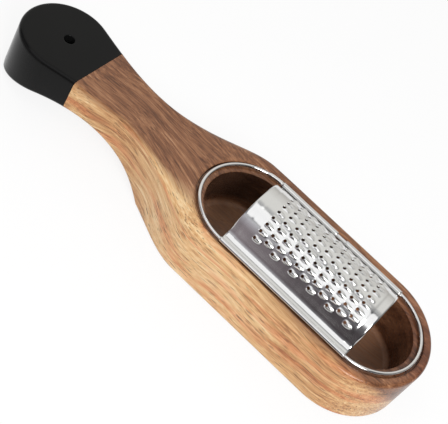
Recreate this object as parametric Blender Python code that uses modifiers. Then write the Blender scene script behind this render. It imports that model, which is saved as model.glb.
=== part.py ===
"""Cheese grater with container.

A one-piece wooden body has a routed container at one end and an arched handle at the other,
whose tip wears a black dipped coat with a hanging hole. An arched stainless sheet with raised
teeth is hemmed round a wire loop, and the loop drops into a rebate round the container's mouth.

Lengths are in metres and angles in radians. +X runs from the handle's tip to the container's
end and +Z is up. The origin is on the table, under the middle of the body's length.
"""
import math

import bmesh
import bpy
import numpy as np

# Wooden body, seen from above
OVERALL_LENGTH = 0.290
CONTAINER_WIDTH = 0.0782
TIP_RADIUS = 0.0268
TIP_ARC_END = math.radians(75.0)
WAIST_HALF_WIDTH = 0.0168
WAIST_FROM_TIP = 0.0844
SHOULDER_FROM_TIP = 0.1561
SHOULDER_SKEW = 1.2

# Wooden body, seen from the side
BODY_DEPTH = 0.0358
HANDLE_CROWN_DEPTH = 0.0213
TIP_FOOT_LENGTH = 0.0062
ARCH_SPAN = 0.1098

# Rounded edges of the body, with a wider and softer top edge at the neck
TOP_EDGE_RADIUS = 0.0018
BOTTOM_EDGE_RADIUS = 0.0030
NECK_EDGE_WIDTH = 0.0070
NECK_EDGE_DROP = 0.0035
NECK_EDGE_FROM_TIP = 0.1284
NECK_EDGE_REACH = 0.0185

# Black coat on the handle's end and the hole through it
COAT_LENGTH = 0.0517
COAT_THICKNESS = 0.0010
HANGING_HOLE_RADIUS = 0.0031
HANGING_HOLE_FROM_TIP = 0.0284

# Wire loop
WIRE_RADIUS = 0.0010
LOOP_RADIUS = 0.0307
LOOP_FROM_END = 0.0073
LOOP_ARC_FROM_SHOULDER = 0.0106
WIRE_ABOVE_RIM = 0.0003

# Stainless sheet: its arch, the fillet at the arch's foot and the hems round the wire
SHEET_THICKNESS = 0.00035
SHEET_PAST_STRAIGHT = 0.0022
CROWN_RADIUS = 0.0230
CROWN_HALF_ANGLE = math.radians(69.0)
FILLET_RADIUS = 0.0065
HEM_TURN = math.radians(250.0)
HEM_NOTCH_START = -0.0020
HEM_NOTCH_LENGTH = 0.0055
PANEL_RAISE = 0.0005
PANEL_RAISE_FADE = 0.0060
STEP_LENGTH = 0.0012
END_STRIP_LENGTH = 0.0048

# Teeth: round punched holes, each with a lip raised on the side towards the container's end
TOOTH_PITCH_ALONG = 0.00635
TOOTH_PITCH_ACROSS = 0.00464
TEETH_IN_LONG_COLUMN = 11
PLAIN_END_LENGTH = 0.0075
TOOTH_FIELD_OFF_CENTRE = 0.0005
TOOTH_HOLE_RADIUS = 0.00090
TOOTH_BASE_RADIUS = 0.00155
TOOTH_LIP_HEIGHT = 0.00075
TOOTH_BACK_HEIGHT = 0.00010
TOOTH_TAIL = 0.00080

# Container: the hollow and the rebate that seats the hems and the wire
CAVITY_RADIUS = 0.0271
CAVITY_FLOOR_THICKNESS = 0.0061
REBATE_SIDE_CLEARANCE = 0.0006

# Gaps between pieces that touch, the reach of a cutter past what it cuts, and the welding distance
SEAT_GAP = 0.0003
OVERRUN = 0.0050
WELD = 0.00002

# Mesh steps
TIP_STEPS = 14
HANDLE_STEPS = 12
SHOULDER_STEPS = 16
STRAIGHT_STEPS = 3
END_STEPS = 16
EDGE_STEPS = 3
HOLE_SIDES = 24
LOOP_ARC_STEPS = 24
TOOTH_SIDES = 8
FILLET_STEPS = 5
HEM_STEPS = 12
SHARP_ANGLE = math.radians(35.0)

# Places worked out from the sizes above
TIP_X = -OVERALL_LENGTH / 2.0
END_X = OVERALL_LENGTH / 2.0
HALF_WIDTH = CONTAINER_WIDTH / 2.0
SEAM_X = TIP_X + COAT_LENGTH
HOLE_X = TIP_X + HANGING_HOLE_FROM_TIP
HEM_MID_RADIUS = WIRE_RADIUS + SEAT_GAP + SHEET_THICKNESS / 2.0
HEM_OUTER_RADIUS = HEM_MID_RADIUS + SHEET_THICKNESS / 2.0
REBATE_RADIUS = LOOP_RADIUS + HEM_OUTER_RADIUS + REBATE_SIDE_CLEARANCE
ARCH_RISE = BODY_DEPTH - HANDLE_CROWN_DEPTH
ARCH_RADIUS = (ARCH_SPAN ** 2 / 4.0 + ARCH_RISE ** 2) / (ARCH_RISE * 2.0)
LOOP_LOW_ARC_X = TIP_X + SHOULDER_FROM_TIP + LOOP_ARC_FROM_SHOULDER
LOOP_HIGH_ARC_X = END_X - LOOP_FROM_END - LOOP_RADIUS
LOOP_HALF_STRAIGHT = (LOOP_HIGH_ARC_X - LOOP_LOW_ARC_X) / 2.0
LOOP_X = (LOOP_LOW_ARC_X + LOOP_HIGH_ARC_X) / 2.0
WIRE_Z = BODY_DEPTH + WIRE_ABOVE_RIM
LEDGE_Z = WIRE_Z - HEM_OUTER_RADIUS - SEAT_GAP
SHEET_LENGTH = LOOP_HALF_STRAIGHT * 2.0 + SHEET_PAST_STRAIGHT
SHEET_X = LOOP_X + SHEET_PAST_STRAIGHT / 2.0
TOOTH_COLUMNS = int((SHEET_LENGTH - PLAIN_END_LENGTH * 2.0) / TOOTH_PITCH_ALONG)
TOOTH_FIELD_X = SHEET_X + TOOTH_FIELD_OFF_CENTRE
FLAT_Z = WIRE_Z - HEM_MID_RADIUS
CROWN_LENGTH = CROWN_RADIUS * CROWN_HALF_ANGLE
FILLET_LENGTH = FILLET_RADIUS * CROWN_HALF_ANGLE
FILLET_Y = (CROWN_RADIUS + FILLET_RADIUS) * math.sin(CROWN_HALF_ANGLE)
FILLET_Z = FLAT_Z + FILLET_RADIUS
CROWN_Z = FILLET_Z - (CROWN_RADIUS + FILLET_RADIUS) * math.cos(CROWN_HALF_ANGLE)
FLAT_LENGTH = LOOP_RADIUS - FILLET_Y
HEM_LENGTH = HEM_MID_RADIUS * HEM_TURN


def collection(name):
    """Return a new collection linked to the scene."""
    made = bpy.data.collections.new(name)
    bpy.context.scene.collection.children.link(made)
    return made


def material(name, colour, roughness, metallic):
    """Return a plain finish of one colour."""
    made = bpy.data.materials.new(name)
    made.use_nodes = True
    shader = made.node_tree.nodes["Principled BSDF"]
    shader.inputs["Base Color"].default_value = (*colour, 1.0)
    shader.inputs["Roughness"].default_value = roughness
    shader.inputs["Metallic"].default_value = metallic
    return made


def piece(name, bm, into, finish=None):
    """Turn the drawn faces into a smooth-shaded piece with crisp edges."""
    mesh = bpy.data.meshes.new(name)
    bmesh.ops.remove_doubles(bm, verts=bm.verts, dist=WELD)
    bmesh.ops.recalc_face_normals(bm, faces=bm.faces)
    bm.to_mesh(mesh)
    bm.free()
    mesh.shade_smooth()
    mesh.set_sharp_from_angle(angle=SHARP_ANGLE)
    made = bpy.data.objects.new(name, mesh)
    into.objects.link(made)
    if finish:
        mesh.materials.append(finish)
    return made


def as_cutter(made):
    """Keep a cutter out of pictures."""
    made.hide_render = True
    made.display_type = "WIRE"
    return made


def cut(made, cutter):
    """Take the cutter's shape out of a piece."""
    modifier = made.modifiers.new(cutter.name, "BOOLEAN")
    modifier.operation = "DIFFERENCE"
    modifier.solver = "EXACT"
    modifier.object = cutter


def box_cutter(name, low, high):
    """Box between two corners."""
    low = np.array(low)
    high = np.array(high)
    bm = bmesh.new()
    bmesh.ops.create_cube(bm, size=1.0)
    bmesh.ops.scale(bm, vec=high - low, verts=bm.verts)
    bmesh.ops.translate(bm, vec=(low + high) / 2.0, verts=bm.verts)
    return as_cutter(piece(name, bm, cutters))


def pin_cutter(name, x, radius):
    """Round bar standing right through the body at the given place along it."""
    bm = bmesh.new()
    bmesh.ops.create_cone(bm, cap_ends=True, segments=HOLE_SIDES, radius1=radius, radius2=radius,
                          depth=BODY_DEPTH + OVERRUN * 2.0)
    bmesh.ops.translate(bm, vec=(x, 0.0, BODY_DEPTH / 2.0), verts=bm.verts)
    return as_cutter(piece(name, bm, cutters))


def smoothstep(share):
    """Ease from 0 to 1 with level ends."""
    share = np.clip(share, 0.0, 1.0)
    return share * share * (3.0 - 2.0 * share)


# Wooden body: a round tip, a waisted handle, a shoulder and a straight container with a round end

def half_plan():
    """Half outline from tip to container end and its outward normals.

    The tip and the container's end are arcs. A cubic runs from the tip's arc and comes level at
    the waist, and the shoulder eases from the waist to the full width with a skewed smoothstep.
    """
    centre_x = TIP_X + TIP_RADIUS
    angle = np.linspace(math.pi, TIP_ARC_END, TIP_STEPS + 1)
    tip = np.c_[centre_x + TIP_RADIUS * np.cos(angle), TIP_RADIUS * np.sin(angle)]
    waist_x = TIP_X + WAIST_FROM_TIP
    start_x, start_y = tip[-1]
    span = waist_x - start_x
    fall = span / math.tan(TIP_ARC_END)
    share = np.linspace(0.0, 1.0, HANDLE_STEPS + 1)[1:]
    handle_y = start_y + (WAIST_HALF_WIDTH - start_y) * smoothstep(share)
    handle_y = handle_y - fall * share * (1.0 - share) ** 2
    handle = np.c_[start_x + span * share, handle_y]
    shoulder_x = TIP_X + SHOULDER_FROM_TIP
    share = np.linspace(0.0, 1.0, SHOULDER_STEPS + 1)[1:]
    rise = smoothstep(share ** SHOULDER_SKEW)
    shoulder = np.c_[waist_x + (shoulder_x - waist_x) * share,
                     WAIST_HALF_WIDTH + (HALF_WIDTH - WAIST_HALF_WIDTH) * rise]
    end_centre_x = END_X - HALF_WIDTH
    share = np.linspace(0.0, 1.0, STRAIGHT_STEPS + 1)[1:-1]
    straight = np.c_[shoulder_x + (end_centre_x - shoulder_x) * share, HALF_WIDTH + 0.0 * share]
    angle = np.linspace(math.pi / 2.0, 0.0, END_STEPS + 1)
    end = np.c_[end_centre_x + HALF_WIDTH * np.cos(angle), HALF_WIDTH * np.sin(angle)]
    outline = np.concatenate([tip, handle, shoulder, straight, end])
    outline[[0, -1], 1] = 0.0
    along = np.gradient(outline, axis=0)
    along[0] = (0.0, 1.0)
    along[-1] = (0.0, -1.0)
    normal = np.c_[-along[:, 1], along[:, 0]]
    return outline, normal / np.linalg.norm(normal, axis=1)[:, None]


def underside(x):
    """Height of the underside: flat under the container and the tip, a round arch between them."""
    middle_x = TIP_X + TIP_FOOT_LENGTH + ARCH_SPAN / 2.0
    reach = np.clip(x - middle_x, -ARCH_SPAN / 2.0, ARCH_SPAN / 2.0)
    sag = ARCH_RADIUS - np.sqrt(ARCH_RADIUS ** 2 - reach ** 2)
    return ARCH_RISE - sag


def top_edge(x):
    """Width and drop of the rounded top edge, which swells at the neck."""
    swell = np.exp(-((x - TIP_X - NECK_EDGE_FROM_TIP) / NECK_EDGE_REACH) ** 2)
    width = TOP_EDGE_RADIUS + (NECK_EDGE_WIDTH - TOP_EDGE_RADIUS) * swell
    drop = TOP_EDGE_RADIUS + (NECK_EDGE_DROP - TOP_EDGE_RADIUS) * swell
    return width, drop


def whole_body(inset):
    """Faces of the uncut body, drawn in on every side by the inset.

    Plan, depth and edge rounding all change along the body, so it is lofted ring by ring. Each ring
    is the plan moved inwards, and the rings follow a quarter round at the bottom and top edges.
    """
    outline, normal = half_plan()
    width, drop = top_edge(outline[:, 0])
    turn = np.linspace(0.0, math.pi / 2.0, EDGE_STEPS + 1)
    rings = []
    for angle in turn:
        draw_in = inset + BOTTOM_EDGE_RADIUS * (1.0 - math.sin(angle))
        ring = outline - normal * draw_in
        lift = inset + BOTTOM_EDGE_RADIUS * (1.0 - math.cos(angle))
        rings.append(np.c_[ring, underside(ring[:, 0]) + lift])
    for angle in turn[::-1]:
        draw_in = inset + width * (1.0 - math.sin(angle))
        ring = outline - normal * draw_in[:, None]
        rings.append(np.c_[ring, BODY_DEPTH - inset - drop * (1.0 - math.cos(angle))])
    bm = bmesh.new()
    loops = []
    for ring in rings:
        left = [bm.verts.new(point) for point in ring]
        right = [bm.verts.new(point * (1.0, -1.0, 1.0)) for point in ring[1:-1]]
        loops.append((left, [left[0], *right, left[-1]]))
    steps = range(len(outline) - 1)
    for lower, upper in zip(loops, loops[1:]):
        for low_side, high_side in zip(lower, upper):
            for step in steps:
                bm.faces.new((low_side[step], low_side[step + 1], high_side[step + 1], high_side[step]))
    for left, right in (loops[0], loops[-1]):
        for step in steps:
            corners = (left[step], left[step + 1], right[step + 1], right[step])
            bm.faces.new(tuple(dict.fromkeys(corners)))
    return bm


def stadium(radius):
    """Points of a round-ended slot round the wire loop's centre."""
    angle = np.linspace(-math.pi / 2.0, math.pi / 2.0, LOOP_ARC_STEPS + 1)
    end = np.c_[LOOP_HALF_STRAIGHT + radius * np.cos(angle), radius * np.sin(angle)]
    return np.concatenate([end, -end]) + (LOOP_X, 0.0)


def drawn_loop(name, points, z, into, half_height=0.0, bar_radius=0.0):
    """Piece drawn along a closed outline at height z: a filled slab, or a round bar."""
    curve = bpy.data.curves.new(name + "_line", "CURVE")
    spline = curve.splines.new("POLY")
    spline.points.add(len(points) - 1)
    for target, (x, y) in zip(spline.points, points):
        target.co = (x, y, 0.0, 1.0)
    spline.use_cyclic_u = True
    if bar_radius:
        curve.dimensions = "3D"
        curve.bevel_depth = bar_radius
        curve.bevel_resolution = 2
    else:
        curve.dimensions = "2D"
        curve.fill_mode = "BOTH"
        curve.extrude = half_height
    line = bpy.data.objects.new(name + "_line", curve)
    line.location.z = z
    into.objects.link(line)
    depsgraph = bpy.context.evaluated_depsgraph_get()
    mesh = bpy.data.meshes.new_from_object(line.evaluated_get(depsgraph))
    bm = bmesh.new()
    bm.from_mesh(mesh)
    bmesh.ops.transform(bm, matrix=line.matrix_world, verts=bm.verts)
    bpy.data.objects.remove(line)
    bpy.data.meshes.remove(mesh)
    return piece(name, bm, into)


def make_wooden_body():
    """One piece of wood: the body, less its container, its rebate and the wood under the coat."""
    body = piece("wooden_body", whole_body(0.0), parts, wood)
    beside = HALF_WIDTH + OVERRUN
    around_core = box_cutter("around_core", (TIP_X - OVERRUN, -beside, -OVERRUN),
                             (SEAM_X, beside, BODY_DEPTH + OVERRUN))
    cut(around_core, as_cutter(piece("core", whole_body(COAT_THICKNESS + SEAT_GAP), cutters)))
    cut(body, around_core)
    cut(body, pin_cutter("core_hole", HOLE_X, HANGING_HOLE_RADIUS + COAT_THICKNESS + SEAT_GAP))
    hollows = (("cavity", CAVITY_RADIUS, CAVITY_FLOOR_THICKNESS), ("rebate", REBATE_RADIUS, LEDGE_Z))
    for name, radius, floor_z in hollows:
        half_height = (BODY_DEPTH + OVERRUN - floor_z) / 2.0
        hollow = drawn_loop(name, stadium(radius), floor_z + half_height, cutters,
                            half_height=half_height)
        cut(body, as_cutter(hollow))
    return body


# Black coat: a cup over the handle's end, with a sleeve that lines the hanging hole

def make_black_end():
    """Shell between the body's surface and its wooden core, open towards the seam."""
    coat = piece("black_end", whole_body(0.0), parts, black)
    beside = HALF_WIDTH + OVERRUN
    cut(coat, box_cutter("past_seam", (SEAM_X - SEAT_GAP, -beside, -OVERRUN),
                         (END_X + OVERRUN, beside, BODY_DEPTH + OVERRUN)))
    inside = as_cutter(piece("inside_coat", whole_body(COAT_THICKNESS), cutters))
    cut(inside, pin_cutter("sleeve", HOLE_X, HANGING_HOLE_RADIUS + COAT_THICKNESS))
    cut(coat, inside)
    cut(coat, pin_cutter("hanging_hole", HOLE_X, HANGING_HOLE_RADIUS))
    return coat


# Wire loop: round wire bent to two straight sides and two round ends, and welded end to end

def make_wire_frame():
    """Closed round bar along the loop."""
    frame = drawn_loop("wire_frame", stadium(LOOP_RADIUS), WIRE_Z, parts, bar_radius=WIRE_RADIUS)
    frame.data.materials.append(steel)
    return frame


# Grater sheet: a flat blank with punched teeth, bent to an arch and rolled round the wire

def bent(x, across, lift):
    """Carry places on the flat blank to the bent sheet.

    From the middle outwards the blank runs along the crown's arc, turns back through a fillet, lies
    flat under the wire and rolls up round it. The lift is a place's height off the sheet.
    """
    side = np.sign(across)
    run = np.abs(across)
    crown = run / CROWN_RADIUS
    foot = CROWN_HALF_ANGLE - (run - CROWN_LENGTH) / FILLET_RADIUS
    flat_run = run - CROWN_LENGTH - FILLET_LENGTH
    roll = (flat_run - FLAT_LENGTH) / HEM_MID_RADIUS
    stretches = [run <= CROWN_LENGTH, flat_run <= 0.0, flat_run <= FLAT_LENGTH]
    y = np.select(stretches, [(CROWN_RADIUS + lift) * np.sin(crown),
                              FILLET_Y - (FILLET_RADIUS - lift) * np.sin(foot),
                              FILLET_Y + flat_run],
                  LOOP_RADIUS + (HEM_MID_RADIUS - lift) * np.sin(roll))
    z = np.select(stretches, [CROWN_Z + (CROWN_RADIUS + lift) * np.cos(crown),
                              FILLET_Z - (FILLET_RADIUS - lift) * np.cos(foot),
                              FLAT_Z + lift],
                  WIRE_Z - (HEM_MID_RADIUS - lift) * np.cos(roll))
    return np.stack([x + 0.0 * run, side * y, z], axis=-1)


def panel_lift(x, across):
    """Height of the toothed panel over the end strips, fading out down the fillet."""
    from_end = SHEET_LENGTH / 2.0 - np.abs(x - SHEET_X)
    along = np.clip((from_end - END_STRIP_LENGTH) / STEP_LENGTH, 0.0, 1.0)
    down = np.clip((CROWN_LENGTH + FILLET_LENGTH - np.abs(across)) / PANEL_RAISE_FADE, 0.0, 1.0)
    return PANEL_RAISE * along * down


def tooth_ring(x, across, radius, tail, front, back):
    """Points round a tooth. The front lip faces the container's end, and the tail stretches it."""
    angle = (np.arange(TOOTH_SIDES) + 0.5) * 2.0 * math.pi / TOOTH_SIDES
    forward = (1.0 + np.cos(angle)) / 2.0
    ring_x = x + radius * np.cos(angle) + tail * forward ** 2
    ring_across = across + radius * np.sin(angle)
    lift = panel_lift(ring_x, ring_across) + back + (front - back) * forward
    return bent(ring_x, ring_across, lift)


class Blank:
    """Faces of the sheet, laid out on the flat blank and bent as they are added."""

    def __init__(self):
        self.bm = bmesh.new()

    def face(self, corners):
        """Face between places on the blank, each its x and its place across."""
        x, across = np.array(corners).T
        points = bent(x, across, panel_lift(x, across))
        self.bm.faces.new([self.bm.verts.new(point) for point in points])

    def strips(self, lines_x, lines_across):
        """Rows of faces between every two of the given lines."""
        for left, right in zip(lines_x, lines_x[1:]):
            for low, high in zip(lines_across, lines_across[1:]):
                self.face([(left, low), (right, low), (right, high), (left, high)])

    def tooth(self, x, across):
        """Brick of sheet with a tooth: a flat border, a sloping lip and the hole inside it."""
        half_x = TOOTH_PITCH_ALONG / 2.0
        half_across = TOOTH_PITCH_ACROSS / 2.0
        border_x = x + half_x * np.array([1.0, 1.0, 0.0, -1.0, -1.0, -1.0, 0.0, 1.0])
        border_across = across + half_across * np.array([0.0, 1.0, 1.0, 1.0, 0.0, -1.0, -1.0, -1.0])
        border = bent(border_x, border_across, panel_lift(border_x, border_across))
        base = tooth_ring(x, across, TOOTH_BASE_RADIUS, TOOTH_TAIL, 0.0, 0.0)
        edge = tooth_ring(x, across, TOOTH_HOLE_RADIUS, 0.0, TOOTH_LIP_HEIGHT, TOOTH_BACK_HEIGHT)
        rings = [[self.bm.verts.new(point) for point in ring] for ring in (border, base, edge)]
        for outer, inner in zip(rings, rings[1:]):
            for at in range(TOOTH_SIDES):
                after = (at + 1) % TOOTH_SIDES
                self.bm.faces.new((outer[at], outer[after], inner[after], inner[at]))


def make_grater_sheet():
    """Toothed field, its plain margins, the fillets and the hems, thickened to a sheet."""
    blank = Blank()
    half_x = TOOTH_PITCH_ALONG / 2.0
    half_across = TOOTH_PITCH_ACROSS / 2.0
    field_across = TEETH_IN_LONG_COLUMN * half_across
    columns_x = TOOTH_FIELD_X + (np.arange(TOOTH_COLUMNS) - (TOOTH_COLUMNS - 1) / 2.0) * TOOTH_PITCH_ALONG
    for column, x in enumerate(columns_x):
        teeth = TEETH_IN_LONG_COLUMN - column % 2
        for across in (np.arange(teeth) - (teeth - 1) / 2.0) * TOOTH_PITCH_ACROSS:
            blank.tooth(x, across)
        if column % 2:
            for side in (-1.0, 1.0):
                low = side * (field_across - half_across)
                high = side * field_across
                blank.face([(x - half_x, low), (x, low), (x + half_x, low),
                            (x + half_x, high), (x - half_x, high)])
    field_low = columns_x[0] - half_x
    field_high = columns_x[-1] + half_x
    low_x = SHEET_X - SHEET_LENGTH / 2.0
    high_x = SHEET_X + SHEET_LENGTH / 2.0
    to_step = END_STRIP_LENGTH + STEP_LENGTH
    low_lines = [low_x, low_x + END_STRIP_LENGTH, low_x + to_step, field_low]
    high_lines = [field_high, high_x - to_step, high_x - END_STRIP_LENGTH, high_x]
    field_lines = np.arange(-TEETH_IN_LONG_COLUMN, TEETH_IN_LONG_COLUMN + 1) * half_across
    blank.strips(low_lines, field_lines)
    blank.strips(high_lines, field_lines)
    notch = [LOOP_X + HEM_NOTCH_START, LOOP_X + HEM_NOTCH_START + HEM_NOTCH_LENGTH]
    foot_lines = CROWN_LENGTH + FILLET_LENGTH * np.linspace(0.0, 1.0, FILLET_STEPS + 1)
    hem_start = foot_lines[-1] + FLAT_LENGTH
    foot_lines = np.append(foot_lines, hem_start)
    hem_lines = hem_start + HEM_LENGTH * np.linspace(0.0, 1.0, HEM_STEPS + 1)
    for side, cuts in ((-1.0, []), (1.0, notch)):
        shared = [field_low, *cuts, field_high]
        top = [(x, side * foot_lines[0]) for x in shared]
        field_edge = [field_high]
        for column, x in reversed(list(enumerate(columns_x))):
            field_edge += [x, x - half_x] if column % 2 == 0 else [x - half_x]
        blank.face(top + [(x, side * field_across) for x in field_edge])
        between = side * np.array([field_across, foot_lines[0]])
        blank.strips(low_lines, between)
        blank.strips(high_lines, between)
        blank.strips([*low_lines, *cuts, *high_lines], side * foot_lines)
        blank.strips([*low_lines, *(cuts[:1] or [field_high])], side * hem_lines)
        blank.strips([*cuts[1:], *high_lines], side * hem_lines)
    sheet = piece("grater_sheet", blank.bm, parts, brushed)
    solid = sheet.modifiers.new("gauge", "SOLIDIFY")
    solid.thickness = SHEET_THICKNESS
    solid.offset = 0.0
    solid.use_even_offset = True
    return sheet


# The wire loop and its sheet lift straight up out of the rebate together

def carry(pieces):
    """Hang the pieces from an empty on the line along which they lift."""
    lift_line = bpy.data.objects.new("grater_lift_line", None)
    lift_line.location = (LOOP_X, 0.0, WIRE_Z)
    parts.objects.link(lift_line)
    for carried in pieces:
        carried.parent = lift_line
        carried.location = (-LOOP_X, 0.0, -WIRE_Z)


for old in list(bpy.data.objects):
    bpy.data.objects.remove(old)
parts = collection("cheese_grater_with_container")
cutters = collection("cutters")
cutters.hide_render = True
wood = material("acacia_wood", (0.36, 0.20, 0.11), 0.45, 0.0)
black = material("black_coat", (0.018, 0.018, 0.018), 0.42, 0.0)
steel = material("polished_steel", (0.70, 0.70, 0.69), 0.16, 1.0)
brushed = material("sheet_steel", (0.66, 0.66, 0.65), 0.24, 1.0)
make_wooden_body()
make_black_end()
carry([make_wire_frame(), make_grater_sheet()])
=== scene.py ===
"""Cheese grater with container: the looks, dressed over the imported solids.

Lengths are in metres. +X runs from the handle's black tip to the container's round end, +Z is up,
and the table is at z = 0.
"""

import math

import bmesh
import bpy
import numpy as np
from mathutils import Matrix, Vector


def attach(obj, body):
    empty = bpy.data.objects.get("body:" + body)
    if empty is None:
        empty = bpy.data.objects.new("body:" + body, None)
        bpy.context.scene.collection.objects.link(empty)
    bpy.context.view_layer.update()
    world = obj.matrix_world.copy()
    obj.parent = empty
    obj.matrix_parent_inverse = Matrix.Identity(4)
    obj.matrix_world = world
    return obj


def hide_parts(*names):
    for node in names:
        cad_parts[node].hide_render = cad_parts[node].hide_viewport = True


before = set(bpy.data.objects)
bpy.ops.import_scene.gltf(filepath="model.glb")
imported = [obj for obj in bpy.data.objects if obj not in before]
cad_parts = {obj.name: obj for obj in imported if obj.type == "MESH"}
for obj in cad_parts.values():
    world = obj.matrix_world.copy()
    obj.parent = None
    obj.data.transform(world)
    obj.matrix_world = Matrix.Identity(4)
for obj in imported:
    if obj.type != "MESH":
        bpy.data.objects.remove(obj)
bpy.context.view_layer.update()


# Studio: a pale sweep under soft light, seen from above the near side and turned in the frame.
# The sweep shows white to the camera and in the steel, and still takes the object's shadow.

VIEW_AZIMUTH = math.radians(-10.7307)
VIEW_ELEVATION = math.radians(46.1270)
VIEW_ROLL = math.radians(35.5577)
CAMERA_PLACE = (0.093835, -0.444711, 0.490960)
LENS_MM = 96.402
SENSOR_MM = 36.0

forward = Vector((math.sin(VIEW_AZIMUTH) * math.cos(VIEW_ELEVATION),
                  math.cos(VIEW_AZIMUTH) * math.cos(VIEW_ELEVATION), -math.sin(VIEW_ELEVATION)))
level = forward.cross(Vector((0.0, 0.0, 1.0))).normalized()
above = level.cross(forward)
right = level * math.cos(VIEW_ROLL) + above * math.sin(VIEW_ROLL)
up = right.cross(forward)
camera = bpy.data.objects.new("camera", bpy.data.cameras.new("camera"))
camera.data.lens = LENS_MM
camera.data.sensor_width = SENSOR_MM
camera.matrix_world = Matrix.Translation(CAMERA_PLACE) @ Matrix((
    (right.x, up.x, -forward.x), (right.y, up.y, -forward.y), (right.z, up.z, -forward.z))).to_4x4()
bpy.context.scene.collection.objects.link(camera)
bpy.context.scene.camera = camera
bpy.context.scene.view_settings.view_transform = "Standard"


class Finish:
    """A material drawn with nodes: each call adds one, sets its sockets and returns it."""

    def __init__(self, name):
        self.material = bpy.data.materials.new(name)
        self.material.use_nodes = True
        self.tree = self.material.node_tree
        self.shader = self.tree.nodes["Principled BSDF"]
        self.output = self.tree.nodes["Material Output"]

    def add(self, kind, options=None, **sockets):
        """Add a node; options are its settings, and sockets its inputs, as values or as outputs."""
        node = self.tree.nodes.new(kind)
        for key, value in (options or {}).items():
            setattr(node, key, value)
        for key, value in sockets.items():
            self.set(node, key, value)
        return node

    def set(self, node, key, value):
        """Set an input by its name, or by its number after an underscore."""
        socket = node.inputs[int(key[1:])] if key[0] == "_" else node.inputs[key.replace("_", " ")]
        if isinstance(value, bpy.types.NodeSocket):
            self.tree.links.new(value, socket)
        else:
            socket.default_value = value

    def sum(self, how, first, second=0.0, third=0.0):
        """Arithmetic on one to three values."""
        return self.add("ShaderNodeMath", {"operation": how}, _0=first, _1=second,
                        _2=third).outputs[0]

    def place(self, scale=(1.0, 1.0, 1.0), turn=(0.0, 0.0, 0.0), shift=(0.0, 0.0, 0.0), where=None):
        """The object's own place, or another, stretched and turned for a pattern."""
        where = where or self.add("ShaderNodeTexCoord").outputs["Object"]
        return self.add("ShaderNodeMapping", Vector=where, Scale=scale, Rotation=turn,
                        Location=shift).outputs[0]

    def noise(self, place, detail=2.0, rough=0.5, twist=0.0):
        """Cloudy noise from 0 to 1."""
        return self.add("ShaderNodeTexNoise", Vector=place, Scale=1.0, Detail=detail,
                        Roughness=rough, Distortion=twist).outputs[0]

    def spread(self, value, low, high, out_low=0.0, out_high=1.0):
        """Carry one range of values onto another, held at its ends."""
        return self.add("ShaderNodeMapRange", None, Value=value, From_Min=low, From_Max=high,
                        To_Min=out_low, To_Max=out_high).outputs[0]

    def mix(self, share, first, second, how="MIX"):
        """Mix two colours. They are the node's sockets 6 and 7, and its output 2."""
        options = {"data_type": "RGBA", "blend_type": how}
        return self.add("ShaderNodeMix", options, _0=share, _6=first, _7=second).outputs[2]

    def bump(self, height, depth, strength):
        """Raise the surface by a height of 0 to 1 times the depth in metres."""
        return self.add("ShaderNodeBump", Height=height, Distance=depth,
                        Strength=strength).outputs[0]


def set_stops(node, stops):
    """Give a colour ramp its stops, each a place from 0 to 1 and a colour."""
    stretch = node.color_ramp.elements
    stretch.remove(stretch[1])
    for number, (at, colour) in enumerate(stops):
        stop = stretch.new(at) if number else stretch[0]
        stop.position = at
        stop.color = tuple(colour) + (1.0,)


WHITE = (1.0, 1.0, 1.0, 1.0)
FLOOR_REACH = 3.0
FLOOR_COLOUR = (0.95, 0.95, 0.95, 1.0)
FLOOR_ROUGHNESS = 0.9
FLOOR_WHITE_SHARE = 0.86

sweep = Finish("sweep_white")
sweep.shader.inputs["Base Color"].default_value = FLOOR_COLOUR
sweep.shader.inputs["Roughness"].default_value = FLOOR_ROUGHNESS
sweep.shader.inputs["Specular IOR Level"].default_value = 0.0
path = sweep.add("ShaderNodeLightPath")
seen = sweep.sum("MAXIMUM", path.outputs["Is Camera Ray"], path.outputs["Is Glossy Ray"])
seen = sweep.sum("MAXIMUM", seen, path.outputs["Is Transmission Ray"])
white = sweep.add("ShaderNodeEmission", Color=WHITE, Strength=1.0)
both = sweep.add("ShaderNodeMixShader", _0=sweep.sum("MULTIPLY", seen, FLOOR_WHITE_SHARE),
                 _1=sweep.shader.outputs[0], _2=white.outputs[0])
sweep.tree.links.new(both.outputs[0], sweep.output.inputs[0])
floor_mesh = bpy.data.meshes.new("floor")
corners = np.array([(-1, -1, 0), (1, -1, 0), (1, 1, 0), (-1, 1, 0)], float) * FLOOR_REACH
floor_mesh.from_pydata(corners.tolist(), [], [(0, 1, 2, 3)])
floor_mesh.materials.append(sweep.material)
floor = bpy.data.objects.new("floor", floor_mesh)
bpy.context.scene.collection.objects.link(floor)


def lamp(name, place, aim, width, height, watts):
    """Soft rectangular lamp at a place, turned to the point it aims at."""
    light = bpy.data.lights.new(name, "AREA")
    light.shape = "RECTANGLE"
    light.size = width
    light.size_y = height
    light.energy = watts
    made = bpy.data.objects.new(name, light)
    made.location = place
    made.rotation_euler = (Vector(aim) - Vector(place)).to_track_quat("-Z", "Y").to_euler()
    bpy.context.scene.collection.objects.link(made)


lamp("softbox", place=(-0.07, -0.30, 0.83), aim=(0.0, 0.0, 0.04), width=1.10, height=0.60, watts=2.3)
lamp("side_lamp", place=(0.66, -0.74, 0.84), aim=(0.0, 0.0, 0.02), width=0.45, height=0.45, watts=10.5)

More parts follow.
